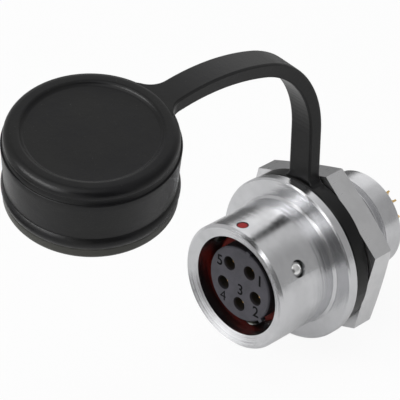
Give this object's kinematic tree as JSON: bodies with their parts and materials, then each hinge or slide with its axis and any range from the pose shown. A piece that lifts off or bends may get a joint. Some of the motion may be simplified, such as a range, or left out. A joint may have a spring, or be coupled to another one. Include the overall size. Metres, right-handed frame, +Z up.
{
  "type": "circular connector",
  "caption": "Panel-mount circular socket connector: turned metal shell with flange, rear thread and nut, recessed contact block, locking balls and a tethered rubber sealing cap.",
  "frame": {"origin": "on the plug axis, in the rear face of the flange that seats against the panel", "axes": "+Y along the plug axis from the mating face to the solder cups, +Z up towards the alignment dot and the cap's strap"},
  "size_m": [0.023, 0.0584, 0.0431],
  "materials": {
    "plated_shell": "satin plated brass",
    "plated_nut": "satin plated brass",
    "red_enamel": "enamel fill",
    "insulator": "fine moulded",
    "black_rubber": "matte moulded",
    "red_silicone": "matte moulded",
    "plain_brass": "turned",
    "gold_contact": "gold plated",
    "steel_ball": "polished"
  },
  "bodies": {
    "receptacle": {"shell": "plated_shell", "alignment_dot": "red_enamel", "front_insulator": "insulator", "rear_insulator": "insulator", "block_o_ring": "black_rubber", "block_lock_ring": "plain_brass", "nose_seal": "red_silicone", "contact_1": "gold_contact", "contact_2": "gold_contact", "contact_3": "gold_contact", "contact_4": "gold_contact", "contact_5": "gold_contact"},
    "nut": {"panel_nut": "plated_nut"},
    "tether": {"sealing_cap": "black_rubber"},
    "ball_right": {"lock_ball_1": "steel_ball"},
    "ball_bottom": {"lock_ball_2": "steel_ball"},
    "ball_left": {"lock_ball_3": "steel_ball"}
  },
  "joints": [
    {"name": "nut_travel", "type": "slide", "parent": "receptacle", "child": "nut", "axis": [0, 1, 0], "range_m": [0, 0.0049]},
    {"name": "tether_swivel", "type": "hinge", "parent": "receptacle", "child": "tether", "pos_m": [0, 0, 0], "axis": [0, 1, 0], "continuous": true},
    {"name": "ball_right_lift", "type": "slide", "parent": "receptacle", "child": "ball_right", "axis": [0.866, 0, 0.5], "range_m": [0, 0.0007]},
    {"name": "ball_bottom_lift", "type": "slide", "parent": "receptacle", "child": "ball_bottom", "axis": [0, 0, -1], "range_m": [0, 0.0007]},
    {"name": "ball_left_lift", "type": "slide", "parent": "receptacle", "child": "ball_left", "axis": [-0.866, 0, 0.5], "range_m": [0, 0.0007]}
  ]
}
